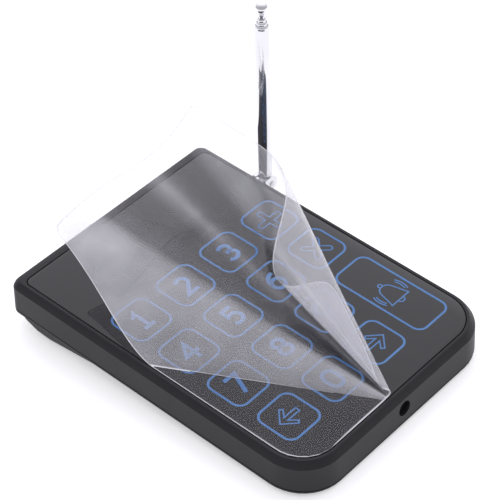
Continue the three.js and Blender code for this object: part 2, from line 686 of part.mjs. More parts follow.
// The origin is the middle of the part's footprint.
part.updateMatrixWorld(true);
const middle = new THREE.Box3().setFromObject(part, true).getCenter(new THREE.Vector3());
for (const child of part.children) {
  child.position.x -= middle.x;
  child.position.y -= middle.y;
}

export default part;
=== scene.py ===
"""The looks of a touch keypad transmitter: housing, key panel, half peeled film and telescopic antenna.

Sizes named in millimetres are in the slab's own axes: x to the user's right, y to the far end and
z up from the middle of the key panel's top. SLAB turns them into the row's frame, in metres.
"""

import json
import math

import bmesh
import bpy
from mathutils import Matrix, Vector, noise


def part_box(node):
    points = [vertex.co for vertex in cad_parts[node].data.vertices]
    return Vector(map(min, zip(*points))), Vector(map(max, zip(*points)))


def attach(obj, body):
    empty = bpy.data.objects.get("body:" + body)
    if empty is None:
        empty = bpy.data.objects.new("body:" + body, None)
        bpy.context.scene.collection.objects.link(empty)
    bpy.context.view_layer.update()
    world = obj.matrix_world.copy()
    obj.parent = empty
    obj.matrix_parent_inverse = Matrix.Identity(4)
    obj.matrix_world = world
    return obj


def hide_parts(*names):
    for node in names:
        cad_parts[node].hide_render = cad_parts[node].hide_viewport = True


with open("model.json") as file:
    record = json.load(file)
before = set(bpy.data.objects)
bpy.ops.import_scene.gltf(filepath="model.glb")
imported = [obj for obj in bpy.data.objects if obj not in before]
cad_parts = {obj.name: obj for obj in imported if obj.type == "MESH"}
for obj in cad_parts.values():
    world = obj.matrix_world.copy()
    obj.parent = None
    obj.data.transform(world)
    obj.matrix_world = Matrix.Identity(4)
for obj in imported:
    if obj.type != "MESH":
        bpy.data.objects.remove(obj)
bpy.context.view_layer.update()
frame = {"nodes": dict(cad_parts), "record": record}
MM = 0.001

# ---- the slab's own axes, from the CAD ----
JOINTS = {joint["name"]: joint for joint in frame["record"]["behaviour"]["joints"]}
PANEL_NORMAL = Vector(JOINTS["film_lift_off"]["axis"]).normalized()
PIVOT = Vector(JOINTS["antenna_swivel_turn"]["pos_m"])
TURN = Matrix.Rotation(math.atan2(-PANEL_NORMAL.y, PANEL_NORMAL.z), 4, "X")


def corners_in_slab(node):
    """Lowest and highest corner of a CAD node, measured along the slab's axes."""
    back = TURN.inverted()
    points = [back @ vertex.co for vertex in frame["nodes"][node].data.vertices]
    low = Vector([min(point[axis] for point in points) for axis in range(3)])
    high = Vector([max(point[axis] for point in points) for axis in range(3)])
    return low, high


panel_low, panel_high = corners_in_slab("touch_panel")
panel_middle = (panel_low + panel_high) / 2
ORIGIN = TURN @ Vector((panel_middle.x, panel_middle.y, panel_high.z))
SLAB = Matrix.Translation(ORIGIN) @ TURN @ Matrix.Scale(MM, 4)

PANEL_WIDTH, PANEL_LENGTH, PANEL_THICKNESS = (panel_high - panel_low) / MM
PANEL_EDGE = 0.18  # rounding of the panel's upper edge
NEAR_RADIUS = 14.5  # panel corners at the user's end
FAR_RADIUS = 2.8
PANEL_SLOT = 0.35  # between the panel and the housing's rim
WALL = 2.2
NEAR_WALL = 1.8
SPLIT_Z = -13.8  # where the upper and lower housings meet
SPLIT_GAP = 0.4

# the upper housing's outside: z, then margins of the side, near and far end, then both corner radii
RIM = [
    (-2.8, (3.7, 3.7, 5.0, 17.8, 3.8)),
    (-1.5, (2.9, 2.75, 4.7, 17.1, 3.6)),
    (-0.5, (2.05, 1.85, 4.0, 16.3, 3.4)),
    (0, (1.6, 1.4, 2.8, 15.9, 3.2)),
]
LOWER_EDGE = (3.9, 4.8, 5.2, 18.5, 4.4)
PANEL_WELL = (PANEL_SLOT,) * 3 + (NEAR_RADIUS + PANEL_SLOT, FAR_RADIUS + PANEL_SLOT)
WELL_Z = -2.9
LEDGE = (-3.6, -3.6, -3.6, 10.9, 1.5)  # the opening inside the ledge that carries the panel
LEDGE_Z = -4.9
INSIDE = (3.7 - WALL, 4.6 - NEAR_WALL, 5 - WALL, 17.8 - WALL, 2)
INLET_Z = -7.3
INLET_BORE = 6.4
SOCKET_BORE = 5.8
BORE_DEPTH = 14
HOUSING_BEVEL = 0.25


def in_slab(point):
    """A point of the row's frame in the slab's millimetres."""
    return SLAB.inverted() @ Vector(point)


# ---- mesh helpers ----
def make_solid(name, points, faces):
    """An object of one mesh in the row's frame, with its faces turned outwards."""
    mesh = bpy.data.meshes.new(name)
    mesh.from_pydata([tuple(point) for point in points], [], faces)
    work = bmesh.new()
    work.from_mesh(mesh)
    bmesh.ops.recalc_face_normals(work, faces=work.faces)
    work.to_mesh(mesh)
    work.free()
    solid = bpy.data.objects.new(name, mesh)
    bpy.context.scene.collection.objects.link(solid)
    return solid


def make_piece(name, points, faces, material, body, replaced=(), sharp=35):
    """A solid that rides on a body and stands for CAD nodes, smooth up to the sharp angle."""
    piece = make_solid(name, points, faces)
    piece.data.materials.append(material)
    for polygon in piece.data.polygons:
        polygon.use_smooth = True
    piece.data.set_sharp_from_angle(angle=math.radians(sharp))
    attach(piece, body)
    if replaced:
        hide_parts(*replaced)
    return piece


def arc(centre_x, centre_y, radius, start, end, steps):
    """Points of an arc between two angles in degrees."""
    points = []
    for step in range(steps + 1):
        turn = math.radians(start + (end - start) * step / steps)
        points.append((centre_x + radius * math.cos(turn), centre_y + radius * math.sin(turn)))
    return points


def outline(side, near, far, near_radius, far_radius, steps=20):
    """The panel's outline grown by a margin on its long sides, near end and far end."""
    right = PANEL_WIDTH / 2 + side
    top = PANEL_LENGTH / 2 + far
    bottom = -PANEL_LENGTH / 2 - near
    return (
        arc(right - near_radius, bottom + near_radius, near_radius, -90, 0, steps)
        + arc(right - far_radius, top - far_radius, far_radius, 0, 90, steps)
        + arc(-right + far_radius, top - far_radius, far_radius, 90, 180, steps)
        + arc(-right + near_radius, bottom + near_radius, near_radius, 180, 270, steps)
    )


def swept(rings, closed=False):
    """Faces that join rings of points of equal count. Open sweeps get a face at each end."""
    count = len(rings[0])
    points = [point for ring in rings for point in ring]
    faces = []
    last = len(rings) if closed else len(rings) - 1
    for ring in range(last):
        low, high = ring * count, (ring + 1) % len(rings) * count
        for index in range(count):
            after = (index + 1) % count
            faces.append((low + index, low + after, high + after, high + index))
    if not closed:
        faces.append(tuple(reversed(range(count))))
        faces.append(tuple(range(len(points) - count, len(points))))
    return points, faces


def turned(profile, place, sides=64, closed=False):
    """A piece turned about a place's Z from radius, height pairs."""
    turns = [2 * math.pi * index / sides for index in range(sides)]
    rings = []
    for radius, height in profile:
        ring = [(radius * math.cos(turn), radius * math.sin(turn), height) for turn in turns]
        rings.append([place @ Vector(point) for point in ring])
    return swept(rings, closed)


def cut_with(piece, points, faces):
    """Cuts a solid out of a piece and drops the cutter."""
    cutter = make_solid("cutter", points, faces)
    change = piece.modifiers.new("change", "BOOLEAN")
    change.operation = "DIFFERENCE"
    change.solver = "EXACT"
    change.object = cutter
    evaluated = piece.evaluated_get(bpy.context.evaluated_depsgraph_get())
    result = bpy.data.meshes.new_from_object(evaluated)
    piece.modifiers.clear()
    piece.data = result
    bpy.data.objects.remove(cutter)


def add_bevel(piece, width, segments=3, angle=25):
    bevel = piece.modifiers.new("bevel", "BEVEL")
    bevel.width = width * MM
    bevel.segments = segments
    bevel.limit_method = "ANGLE"
    bevel.angle_limit = math.radians(angle)
    bevel.harden_normals = True


# ---- camera ----
CAMERA_PLACE = (-0.42496, -0.38186, 0.5534)  # metres in the row's frame
CAMERA_TURN = (48.08, 1.46, -48.67)
CAMERA_LENS = 145.4


def make_camera():
    camera = bpy.data.cameras.new("camera")
    camera.lens = CAMERA_LENS
    camera.sensor_width = 36
    camera.clip_end = 10
    holder = bpy.data.objects.new("camera", camera)
    holder.location = CAMERA_PLACE
    holder.rotation_euler = [math.radians(turn) for turn in CAMERA_TURN]
    bpy.context.scene.collection.objects.link(holder)
    bpy.context.scene.camera = holder


make_camera()


# ---- materials ----
PATCH_SCALE = 60
NOISE_SPAN = (0.3, 0.7)  # most of a noise's values lie here


def new_material(name):
    material = bpy.data.materials.new(name)
    material.use_nodes = True
    nodes = material.node_tree.nodes
    return material, nodes, material.node_tree.links, nodes["Principled BSDF"]


def noise_node(nodes, links, scale, detail=3, stretch=None):
    """A noise texture in the object's metres, with stretch as its mapping scale."""
    place = nodes.new("ShaderNodeTexCoord")
    texture = nodes.new("ShaderNodeTexNoise")
    texture.inputs["Scale"].default_value = scale
    texture.inputs["Detail"].default_value = detail
    source = place.outputs["Object"]
    if stretch:
        mapping = nodes.new("ShaderNodeMapping")
        mapping.inputs["Scale"].default_value = stretch
        links.new(source, mapping.inputs["Vector"])
        source = mapping.outputs["Vector"]
    links.new(source, texture.inputs["Vector"])
    return texture.outputs["Fac"]


def ramp(nodes, links, source, low, high, start=0.0, end=1.0):
    """Maps start..end of a value to low..high: numbers or colours."""
    if isinstance(low, tuple):
        mix = nodes.new("ShaderNodeValToRGB")
        mix.color_ramp.elements[0].color = (*low, 1)
        mix.color_ramp.elements[1].color = (*high, 1)
        mix.color_ramp.elements[0].position = start
        mix.color_ramp.elements[1].position = end
        links.new(source, mix.inputs["Fac"])
        return mix.outputs["Color"]
    scale = nodes.new("ShaderNodeMapRange")
    for key, value in {"From Min": start, "From Max": end, "To Min": low, "To Max": high}.items():
        scale.inputs[key].default_value = value
    links.new(source, scale.inputs["Value"])
    return scale.outputs["Result"]


def add_bump(nodes, links, shader, source, depth):
    bump = nodes.new("ShaderNodeBump")
    bump.inputs["Distance"].default_value = depth
    links.new(source, bump.inputs["Height"])
    links.new(bump.outputs["Normal"], shader.inputs["Normal"])


def mottled(name, dark, light, rough, grain, bump, metallic=0.0, stretch=None, gloss=0.5):
    """A material whose colour drifts in patches; its roughness and height (mm) follow a fine grain."""
    material, nodes, links, shader = new_material(name)
    drift = noise_node(nodes, links, PATCH_SCALE)
    fine = noise_node(nodes, links, grain, 2, stretch)
    links.new(ramp(nodes, links, drift, dark, light, *NOISE_SPAN), shader.inputs["Base Color"])
    links.new(ramp(nodes, links, fine, *rough, *NOISE_SPAN), shader.inputs["Roughness"])
    shader.inputs["Metallic"].default_value = metallic
    shader.inputs["Specular IOR Level"].default_value = gloss
    if bump:
        add_bump(nodes, links, shader, fine, bump * MM)
    return material


CHARCOAL = ((0.013, 0.0125, 0.0155), (0.017, 0.0165, 0.0195))
SILVER = ((0.7, 0.7, 0.72), (0.76, 0.76, 0.78))
ALONG_Z = (1, 1, 0.05)  # drawn out along the mast
HOUSING = mottled("housing_plastic", *CHARCOAL, (0.42, 0.54), 2400, 0.03, gloss=0.28)
PANEL = mottled("black_acrylic", (0.009, 0.0088, 0.011), (0.012, 0.0115, 0.014), (0.03, 0.05), 300, 0)
INK = mottled("blue_ink", (0.05, 0.17, 0.42), (0.07, 0.21, 0.48), (0.05, 0.12), 1500, 0)
CHROME = mottled("polished_chrome", *SILVER, (0.03, 0.08), 500, 0, 1.0, ALONG_Z)
STEEL = mottled("plated_steel", (0.5, 0.5, 0.5), (0.6, 0.6, 0.6), (0.25, 0.4), 3000, 0.004, 1.0)
BRASS = mottled("brass", (0.62, 0.42, 0.16), (0.72, 0.52, 0.24), (0.2, 0.35), 3000, 0.004, 1.0)
RUBBER = mottled("black_rubber", (0.012, 0.012, 0.012), (0.022, 0.022, 0.022), (0.7, 0.85), 4000, 0.02)
BOARD = mottled("solder_mask", (0.012, 0.1, 0.04), (0.02, 0.16, 0.07), (0.3, 0.5), 2500, 0.01)
CHIP = mottled("moulded_black", (0.012, 0.012, 0.013), (0.02, 0.02, 0.022), (0.5, 0.65), 5000, 0.01)
TAPE = mottled("pale_plastic", (0.6, 0.57, 0.48), (0.7, 0.67, 0.58), (0.5, 0.65), 3000, 0.01)
FOIL = mottled("battery_foil", (0.42, 0.43, 0.45), (0.55, 0.56, 0.6), (0.3, 0.5), 1200, 0.03)
# name of the mesh values that hold milkiness plus painted sheen and painted highlight lines
HAZE_AND_SHEEN_NAME = "haze_and_sheen"
FILM_DRIFT = (0.35, 0.65)
SCRATCH_MILK = 0.04
SCRATCH_SPAN = (0.66, 0.84)
STUCK_DRIFT = (0.38, 0.66)
STUCK_SCRATCH_SPAN = (0.64, 0.8)
GRAZING_POWER = 4.0


def clear_film(name, haze_and_sheen, gloss_least, gloss_most, roughness):
    """Thin clear plastic: gloss that grows towards grazing, a milky layer and fine scratches.

    Given None, the milkiness is read from the mesh's own values, which also hold painted sheen and
    painted highlight lines.
    """
    material, nodes, links, shader = new_material(name)
    nodes.remove(shader)
    clear = nodes.new("ShaderNodeBsdfTransparent")
    clear.inputs["Color"].default_value = (0.985, 0.985, 0.99, 1)
    milk_and_sheen = nodes.new("ShaderNodeBsdfDiffuse")
    milk_and_sheen.inputs["Color"].default_value = (0.93, 0.93, 0.97, 1)
    gloss = nodes.new("ShaderNodeBsdfGlossy")
    gloss.inputs["Color"].default_value = (1, 1, 1, 1)

    drift = noise_node(nodes, links, 45, 2)
    scratches = noise_node(nodes, links, 1500, 3, (1, 0.04, 1))
    links.new(ramp(nodes, links, drift, *roughness, *FILM_DRIFT), gloss.inputs["Roughness"])
    if haze_and_sheen is None:
        # the mesh's milkiness, partly painted sheen and painted highlight lines
        given = nodes.new("ShaderNodeAttribute")
        given.attribute_name = HAZE_AND_SHEEN_NAME
        patches = ramp(nodes, links, drift, 0.8, 1.2, *FILM_DRIFT)
        cloud_and_sheen = math_node(nodes, links, "MULTIPLY", given.outputs["Fac"], patches)
        lines = ramp(nodes, links, scratches, 0.0, SCRATCH_MILK, *SCRATCH_SPAN)
    else:
        cloud_and_sheen = ramp(nodes, links, drift, 0.0, haze_and_sheen, *STUCK_DRIFT)
        lines = ramp(nodes, links, scratches, 0.0, haze_and_sheen, *STUCK_SCRATCH_SPAN)
    milky_and_sheen = mixed(nodes, links, math_node(nodes, links, "ADD", cloud_and_sheen, lines), clear, milk_and_sheen)

    facing = nodes.new("ShaderNodeLayerWeight")
    facing.inputs["Blend"].default_value = 0.5
    grazing = math_node(nodes, links, "POWER", facing.outputs["Facing"], GRAZING_POWER)
    amount = ramp(nodes, links, grazing, gloss_least, gloss_most)
    shine = mixed(nodes, links, amount, milky_and_sheen, gloss)
    links.new(shine.outputs[0], nodes["Material Output"].inputs["Surface"])
    return material


def math_node(nodes, links, operation, *values):
    node = nodes.new("ShaderNodeMath")
    node.operation = operation
    node.use_clamp = True
    for place, value in enumerate(values):
        if isinstance(value, float):
            node.inputs[place].default_value = value
        else:
            links.new(value, node.inputs[place])
    return node.outputs["Value"]


def mixed(nodes, links, amount, first, second):
    mix = nodes.new("ShaderNodeMixShader")
    links.new(amount, mix.inputs["Fac"])
    links.new(first.outputs[0], mix.inputs[1])
    links.new(second.outputs[0], mix.inputs[2])
    return mix


# the peeled film: its milkiness, with painted sheen and painted highlight lines, comes from its mesh
FILM = clear_film("clear_film", None, 0.01, 0.35, (0.1, 0.22))
STUCK_FILM = clear_film("stuck_film", 0.004, 0.004, 0.1, (0.06, 0.12))
# pale opaque faces round the film's cut edge: a painted glint
FILM_EDGE_GLINT = mottled("film_edge_glint", (0.7, 0.7, 0.74), (0.8, 0.8, 0.84), (0.2, 0.3), 3000, 0)


# ---- housings ----
def slab_rings(levels):
    return [[SLAB @ Vector((x, y, z)) for x, y in outline(*margins)] for z, margins in levels]


def lying_rod(centre, turned_about, length, diameter):
    """Points and faces of a rod centred on a point of the slab, laid down about one of its axes."""
    place = SLAB @ Matrix.Translation(centre) @ Matrix.Rotation(math.pi / 2, 4, turned_about)
    return turned([(diameter / 2, -length / 2), (diameter / 2, length / 2)], place, 48)


def upper_housing():
    low = SPLIT_Z + SPLIT_GAP / 2
    levels = [
        (low, LOWER_EDGE),
        *RIM,
        (0, PANEL_WELL),
        (WELL_Z, PANEL_WELL),
        (WELL_Z, LEDGE),
        (LEDGE_Z, LEDGE),
        (LEDGE_Z, INSIDE),
        (low, INSIDE),
    ]
    points, faces = swept(slab_rings(levels), closed=True)
    piece = make_piece("upper_case", points, faces, HOUSING, "base", ["upper_housing"])
    cut_with(piece, *lying_rod((0, -PANEL_LENGTH / 2, INLET_Z), "X", BORE_DEPTH, INLET_BORE))
    pivot = in_slab(PIVOT)
    cut_with(piece, *lying_rod((PANEL_WIDTH / 2, pivot.y, pivot.z), "Y", BORE_DEPTH, SOCKET_BORE))
    piece.data.set_sharp_from_angle(angle=math.radians(35))
    add_bevel(piece, HOUSING_BEVEL)


upper_housing()


def touch_panel():
    levels = [(z, (0, 0, 0, NEAR_RADIUS, FAR_RADIUS)) for z in (-PANEL_THICKNESS, -PANEL_EDGE)]
    for z, inset in ((-PANEL_EDGE / 3, PANEL_EDGE / 3), (0, PANEL_EDGE)):
        levels.append((z, (-inset, -inset, -inset, NEAR_RADIUS - inset, FAR_RADIUS - inset)))
    points, faces = swept(slab_rings(levels))
    make_piece("key_panel", points, faces, PANEL, "base", ["touch_panel"], sharp=60)


touch_panel()


# ---- key print ----
PRINT_LIFT = 0.012
PRINT_THICKNESS = 0.03
KEY_COLUMNS = (-36.67, -11.67, 13.33, 38.18)
KEY_ROWS = (-50.15, -25.59, -1.04, 23.52)
KEY_HALF = 9.1
KEY_CORNER = 4.0
KEY_LINE = 0.95
SIGN_LINE = 0.6
DIGIT_LINE = 1.7
MITRE_LEAST = 0.4  # keeps a sharp corner's point short
BELL_KEY = (9.25, 21.65)
BELL_KEY_SHIFT = -0.43


def ribbon(points, width, closed=True):
    """A flat line of a width along points of the panel, as a thin solid."""
    count = len(points)
    left, right = [], []
    for index, (x, y) in enumerate(points):
        before = points[index - 1] if closed or index else points[index]
        after = points[(index + 1) % count] if closed or index < count - 1 else points[index]
        way_in = Vector((x - before[0], y - before[1]))
        way_out = Vector((after[0] - x, after[1] - y))
        way_in = (way_in if way_in.length else way_out).normalized()
        way_out = (way_out if way_out.length else way_in).normalized()
        middle = (way_in + way_out).normalized()
        side = Vector((-middle.y, middle.x)) * (width / 2 / max(middle.dot(way_in), MITRE_LEAST))
        left.append((x + side.x, y + side.y))
        right.append((x - side.x, y - side.y))
    low, high = PRINT_LIFT, PRINT_LIFT + PRINT_THICKNESS
    rings = [[(*a, low), (*a, high), (*b, high), (*b, low)] for a, b in zip(left, right)]
    return swept(rings, closed)


def rounded_box(centre_x, centre_y, half_width, half_length, corner, steps=8):
    right, top = centre_x + half_width - corner, centre_y + half_length - corner
    left, bottom = centre_x - half_width + corner, centre_y - half_length + corner
    return (
        arc(right, bottom, corner, -90, 0, steps)
        + arc(right, top, corner, 0, 90, steps)
        + arc(left, top, corner, 90, 180, steps)
        + arc(left, bottom, corner, 180, 270, steps)
    )


def print_piece(name, strokes):
    """One printed mark from strokes of points, width and whether they close."""
    points, faces = [], []
    for stroke in strokes:
        more, sides = ribbon(*stroke)
        faces += [tuple(index + len(points) for index in side) for side in sides]
        points += [SLAB @ Vector(point) for point in more]
    return make_piece(name, points, faces, INK, "base")


def loop(x, y, wide, high, start=0, end=360, steps=24):
    """Points of an ellipse between two angles in degrees, by its half width and half height."""
    points = []
    for step in range(steps + 1):
        turn = math.radians(start + (end - start) * step / steps)
        points.append((x + wide * math.cos(turn), y + high * math.sin(turn)))
    return points


# the middle lines of the digits' strokes, about each digit's centre; True closes a line
SIX_BOWL = loop(0, -1.5, 2.8, 2.8)[:-1]
SIX_NECK = [(2.2, 4.25), (0.6, 4.1), (-1.3, 3.0), (-2.5, 1.0), (-2.8, -1.5)]
FIVE_TOP = [(2.6, 4.35), (-2.1, 4.35), (-2.2, 0.6)]
DIGITS = {
    "0": [(rounded_box(0, 0, 2.85, 4.35, 2.8), True)],
    "1": [
        ([(-2.5, 2.7), (-1.0, 3.1), (0.15, 4.5), (0.15, -4.35)], False),
        ([(-2.7, -4.35), (2.9, -4.35)], False),
    ],
    "2": [(loop(-0.1, 1.9, 2.55, 2.45, 155, -25, 14) + [(-2.7, -4.35), (2.9, -4.35)], False)],
    "3": [
        (loop(-0.3, 2.2, 2.5, 2.1, 145, -90, 16) + [(-1.2, 0.1)], False),
        (loop(-0.3, -2.05, 2.95, 2.3, 90, -145, 16), False),
    ],
    "4": [([(1.1, -5.2), (1.1, 4.2), (-3.1, -1.6), (3.5, -1.6)], False)],
    "5": [(FIVE_TOP + loop(-0.3, -1.55, 2.9, 2.8, 115, -140, 16), False)],
    "6": [(SIX_BOWL, True), (SIX_NECK, False)],
    "7": [([(-3.3, 4.35), (2.6, 4.35), (-1.4, -5.2)], False)],
    "8": [(loop(0, 2.25, 2.4, 2.1)[:-1], True), (loop(0, -2.05, 2.85, 2.3)[:-1], True)],
    "9": [([(-x, -y) for x, y in SIX_BOWL], True), ([(-x, -y) for x, y in SIX_NECK], False)],
}


def digit(text, x, y):
    """A printed digit, upright towards the far end."""
    strokes = []
    for points, closed in DIGITS[text]:
        strokes.append(([(x + px, y + py) for px, py in points], DIGIT_LINE, closed))
    print_piece(f"print_digit_{text}", strokes)


def arrow(name, x, y, way):
    """An outlined arrow with an open chevron head that points along x the given way."""
    half = [(5.15, 0), (0.1, 4.75), (-1.05, 3.85), (1.7, 0.95), (-4.8, 0.95)]
    shape = half + [(px, -py) for px, py in reversed(half[1:])]
    print_piece(name, [([(x + way * px, y + py) for px, py in shape], SIGN_LINE, True)])


def bell(x, y):
    """A ringing bell: knob, dome, flared mouth, clapper and sound arcs on both sides."""
    side = [(0.9, 4.6), (2.1, 4.0), (3.0, 2.9), (3.9, -0.3), (4.4, -2.6), (5.1, -4.8)]
    body = side + [(-px, py) for px, py in reversed(side)]
    strokes = [([(x + px, y + py) for px, py in body], SIGN_LINE, True)]
    strokes.append((arc(x, y - 4.8, 1.6, 190, 350, 8), SIGN_LINE, False))
    strokes.append((arc(x, y + 5.35, 0.9, -30, 210, 10), SIGN_LINE, False))
    for turn in (0, 180):
        for radius, spread in ((6.2, 24), (7.3, 27)):
            strokes.append((arc(x, y + 0.1, radius, turn - spread, turn + spread, 10), SIGN_LINE, False))
    print_piece("print_bell", strokes)


def cross_sign(name, x, y, turn):
    """An outlined cross with round ends, turned by some degrees."""
    reach, half = 5.0, 1.25
    shape = []
    for quarter in range(4):
        arm = arc(reach, 0, half, -90, 90, 8) + [(half, half)]
        way = math.radians(turn + 90 * quarter)
        for px, py in arm:
            shape.append((
                x + px * math.cos(way) - py * math.sin(way),
                y + px * math.sin(way) + py * math.cos(way),
            ))
    print_piece(name, [(shape, SIGN_LINE, True)])


def key_print():
    outlines = []
    for column in KEY_COLUMNS[:3]:
        for row in KEY_ROWS:
            outlines.append((column, row, KEY_HALF, KEY_HALF))
    for row in KEY_ROWS[2:]:
        outlines.append((KEY_COLUMNS[3], row, KEY_HALF, KEY_HALF))
    bell_middle = (KEY_ROWS[0] + KEY_ROWS[1]) / 2 + BELL_KEY_SHIFT
    outlines.append((KEY_COLUMNS[3], bell_middle, *BELL_KEY))
    for number, (x, y, half_width, half_length) in enumerate(outlines, 1):
        shape = rounded_box(x, y, half_width, half_length, KEY_CORNER)
        print_piece(f"print_key_{number}", [(shape, KEY_LINE, True)])
    for number in range(1, 10):
        column, row = (number - 1) % 3, 3 - (number - 1) // 3
        digit(str(number), KEY_COLUMNS[column], KEY_ROWS[row])
    digit("0", KEY_COLUMNS[1], KEY_ROWS[0])
    arrow("print_arrow_left", KEY_COLUMNS[0], KEY_ROWS[0], -1)
    arrow("print_arrow_right", KEY_COLUMNS[2], KEY_ROWS[0], 1)
    bell(KEY_COLUMNS[3], bell_middle)
    cross_sign("print_plus", KEY_COLUMNS[3], KEY_ROWS[3], 0)
    cross_sign("print_cross", KEY_COLUMNS[3], KEY_ROWS[2], 45)


key_print()

# ---- protective film ----
FILM_THICKNESS = 0.1
FILM_BASE = 0.14  # of its middle above the panel
PEEL_NEAR = Vector((-7.6, -PANEL_LENGTH / 2))
PEEL_LEFT = Vector((-PANEL_WIDTH / 2, 4.6))
ROLL_TIP = 4.2  # from PEEL_NEAR out to the point that all the roll's lines meet in
PEEL_CREASE = math.radians(47.3)
# how fast the film bends, by degrees round the tip
FILM_BEND = [(0, -2.8), (25, -0.95), (45, 3), (60, 6.1), (72, 6.5), (84, 6.4), (96, 7.2), (115, 7.6)]
CORNER_LIFT = Vector((15.5, -5, 9))  # of the film's far left corner
CORNER_REACH = 157
CORNER_SPREAD = (0, 14, 18, 52)  # degrees where the lift begins, is full, still is full and ends
ROLL_STEP = 0.004  # radians
ROLL_END = 2.1
FILM_GRID = (240, 26)
# waves by their rate round the tip, their length along a line, a place in the noise and a height
WAVES = [(5, 60, 0, 0.5), (12, 40, 7, 0.12)]
WAVE_RISE = (1, 12)  # heights over which the waves grow
WAVE_REACH = (25, 70)
RIM_STEPS = 60  # in each corner of the outline
RIM_PART = 0.25  # mm between the points that the rim is picked from
RIM_ENDS = 3  # points left out at each end of the rim
CREASE_SPAN = 0.02  # radians
# how close the rows stand: at the crease, away from it, and by the rim's length
CREASE_WEIGHT = 12
FLAT_WEIGHT = 0.5
LENGTH_WEIGHT = 0.01
FILM_HAZE_AND_SHEEN = [
    (0, 0.22),
    (6, 0.25),
    (14, 0.32),
    (17, 0.22),
    (19, 0.05),
    (24, 0.01),
    (30, 0.0),
    (33, 0.05),
    (36, 0.13),
    (39, 0.03),
    (42, 0.005),
    (46, 0.01),
    (50, 0.16),
    (60, 0.2),
    (63, 0.24),
    (64, 0.42),
    (65, 0.24),
    (80, 0.27),
    (82, 0.4),
    (84, 0.27),
    (96, 0.34),
    (97, 0.5),
    (98, 0.36),
    (115, 0.36),
]  # milkiness and painted sheen by degrees round the roll's tip; the narrow peaks at 64, 82 and 97 are painted highlight streaks
REACH_HAZE_AND_SHEEN = [
    (0, 1),
    (50, 0.72),
    (90, 0.78),
    (120, 1),
    (140, 1.05),
    (152, 0.6),
    (165, 0.25),
]  # the share of that milkiness and painted sheen by mm from the roll's tip
# a painted highlight line along the crease, laid on as milkiness
CREASE_HIGHLIGHT = 0.9
CREASE_LINE = 0.15  # degrees to each side of the crease
RIM_HIGHLIGHT = 0.95
RIM_WIDTH = 0.8  # of the painted highlight line along the film's edge, laid on as milkiness
RIM_SHARE_MOST = 0.3
STUCK, GLINT_EDGE = 1, 2  # material indices on the film; the faces round its edge take the painted glint

PEEL_WAY = (PEEL_LEFT - PEEL_NEAR).normalized()
FREE_WAY = Vector((PEEL_WAY.y, -PEEL_WAY.x))
TIP = PEEL_NEAR - PEEL_WAY * ROLL_TIP


def between(knots, place):
    """A value along straight lines between knots of place and value."""
    for (start, first), (end, second) in zip(knots, knots[1:]):
        if place <= end:
            return first + (second - first) * (max(place, start) - start) / (end - start)
    return knots[-1][1]


def bend_at(angle):
    return between(FILM_BEND, math.degrees(angle))


def roll_lines():
    """Directions of the cone's lines and the film's normals at equal steps of angle."""
    line = PEEL_WAY.to_3d()
    normal = Matrix.Rotation(-PEEL_CREASE, 3, line) @ Vector((0, 0, 1))
    lines = []
    for step in range(int(ROLL_END / ROLL_STEP)):
        lines.append((line.copy(), normal.copy()))
        turn = -(normal + line * bend_at((step + 0.5) * ROLL_STEP))
        change = Matrix.Rotation(turn.length * ROLL_STEP, 3, turn.normalized())
        line, normal = change @ line, change @ normal
    return lines


LINES = roll_lines()


def smoothstep(value, start, end):
    share = min(max((value - start) / (end - start), 0), 1)
    return share * share * (3 - 2 * share)


def film_angle(point):
    reach = point - TIP
    return math.atan2(reach.dot(FREE_WAY), reach.dot(PEEL_WAY))


def film_point(flat, lift):
    """Where a point of the flat film goes, lifted along the film's normal."""
    reach = flat - TIP
    angle = film_angle(flat)
    if angle <= 0:
        return Vector((flat.x, flat.y, FILM_BASE + lift))
    place = min(angle / ROLL_STEP, len(LINES) - 1.001)
    step = int(place)
    share = place - step
    line = LINES[step][0].lerp(LINES[step + 1][0], share).normalized()
    normal = LINES[step][1].lerp(LINES[step + 1][1], share).normalized()
    point = Vector((TIP.x, TIP.y, FILM_BASE)) + line * reach.length
    degrees = math.degrees(angle)
    begin, full, hold, end = CORNER_SPREAD
    spread = smoothstep(degrees, begin, full) * (1 - smoothstep(degrees, hold, end))
    point += CORNER_LIFT * (spread * reach.length / CORNER_REACH)
    waves = 0
    for rate, length, layer, tall in WAVES:
        waves += noise.noise(Vector((angle * rate, reach.length / length, layer))) * tall
    height = smoothstep(point.z, *WAVE_RISE) * smoothstep(reach.length, *WAVE_REACH)
    return point + normal * (lift + waves * height)


def film_rim(count):
    """The film's rim from the near right corner round the far end, closer where it bends more."""
    fine = outline(0, 0, 0, NEAR_RADIUS, FAR_RADIUS, RIM_STEPS)
    path = []
    for start, end in zip(fine, fine[1:]):
        start, end = Vector(start), Vector(end)
        parts = max(1, int((end - start).length / RIM_PART))
        path += [start.lerp(end, part / parts) for part in range(parts)]
    path = path[RIM_ENDS:-RIM_ENDS]
    ways = [0.0]
    for before, now in zip(path, path[1:]):
        turn = abs(film_angle(now) - film_angle(before))
        bend = abs(bend_at(film_angle(now))) if film_angle(now) > 0 else 0
        crease = CREASE_WEIGHT if abs(film_angle(now)) < CREASE_SPAN else FLAT_WEIGHT
        ways.append(ways[-1] + turn * (bend + crease) + (now - before).length * LENGTH_WEIGHT)
    rim = []
    index = 0
    for step in range(count + 1):
        wanted = ways[-1] * step / count
        while index < len(ways) - 1 and ways[index] < wanted:
            index += 1
        rim.append(path[index])
    return rim


